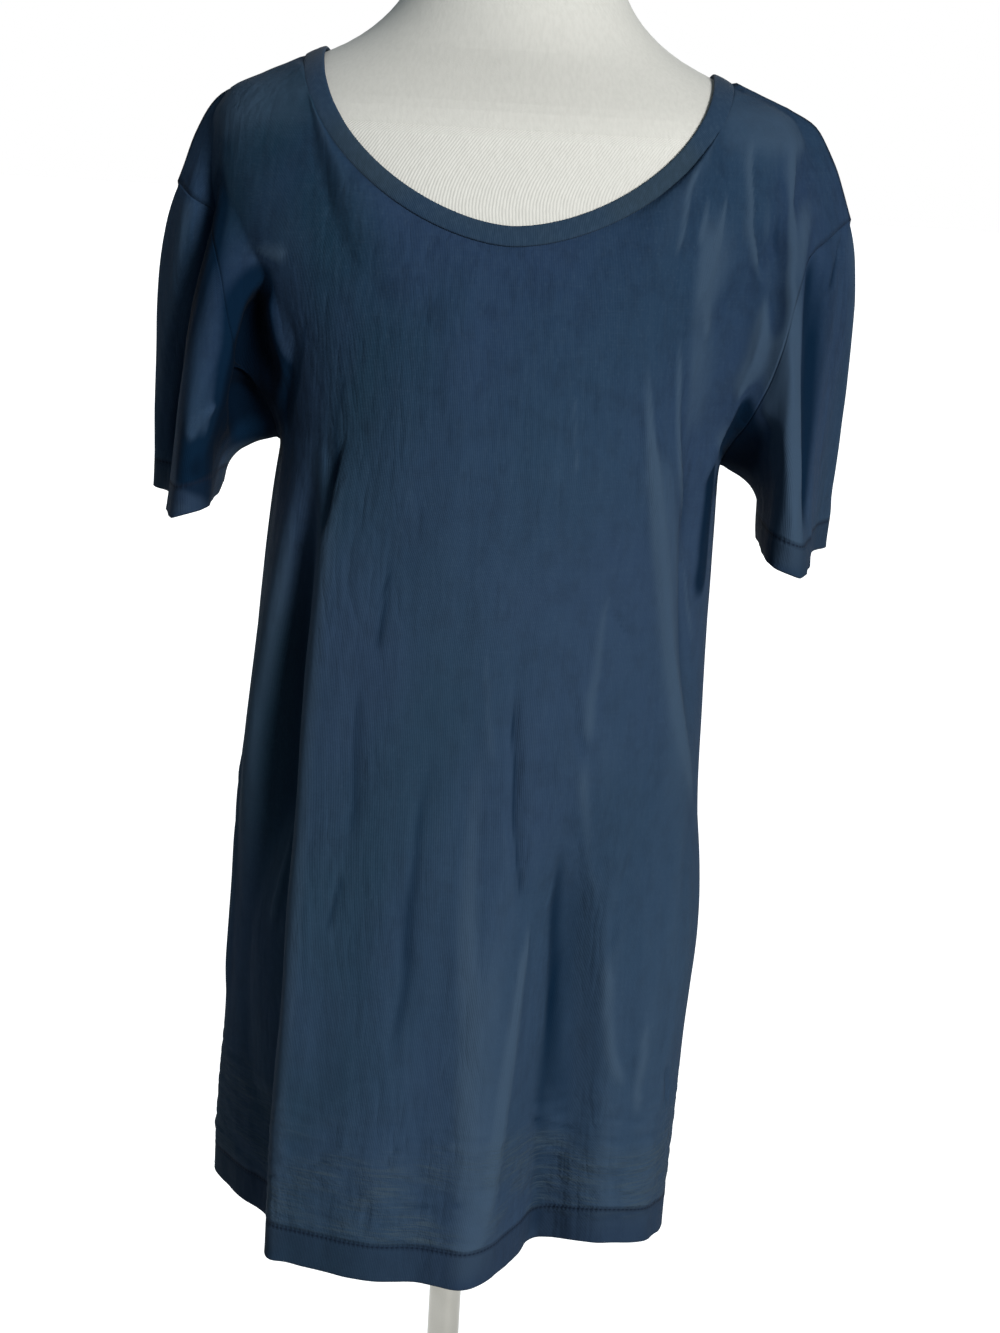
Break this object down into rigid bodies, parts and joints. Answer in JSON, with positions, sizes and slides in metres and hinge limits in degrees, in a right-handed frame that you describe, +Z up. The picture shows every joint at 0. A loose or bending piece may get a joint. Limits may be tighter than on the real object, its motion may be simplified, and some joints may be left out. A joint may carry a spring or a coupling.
{
  "type": "scoop neck t-shirt on a dress form",
  "caption": "Long slim scoop neck t-shirt with short sleeves and a bound neckline, hanging in soft vertical folds on a smooth limbless form that stands on a pole and a round foot.",
  "frame": {"origin": "centre of the foot's flat underside, on the pole's axis, at floor level", "axes": "+Z up along the pole, the shirt's front faces -Y, +X towards the wearer's left"},
  "size_m": [0.4523, 0.34, 1.519],
  "materials": {
    "jersey": "thin matte cotton jersey, dark navy, with a fine knit and small creases",
    "form_cover": "matte cream stretch cover with fine vertical ribs",
    "pole_metal": "bright polished plating with a warm cast"
  },
  "bodies": {
    "root": {"front": "jersey", "back": "jersey", "sleeve_right": "jersey", "sleeve_left": "jersey", "neckband": "jersey", "form_torso": "form_cover", "form_flange": "pole_metal", "pole": "pole_metal", "foot": "pole_metal"}
  },
  "joints": []
}
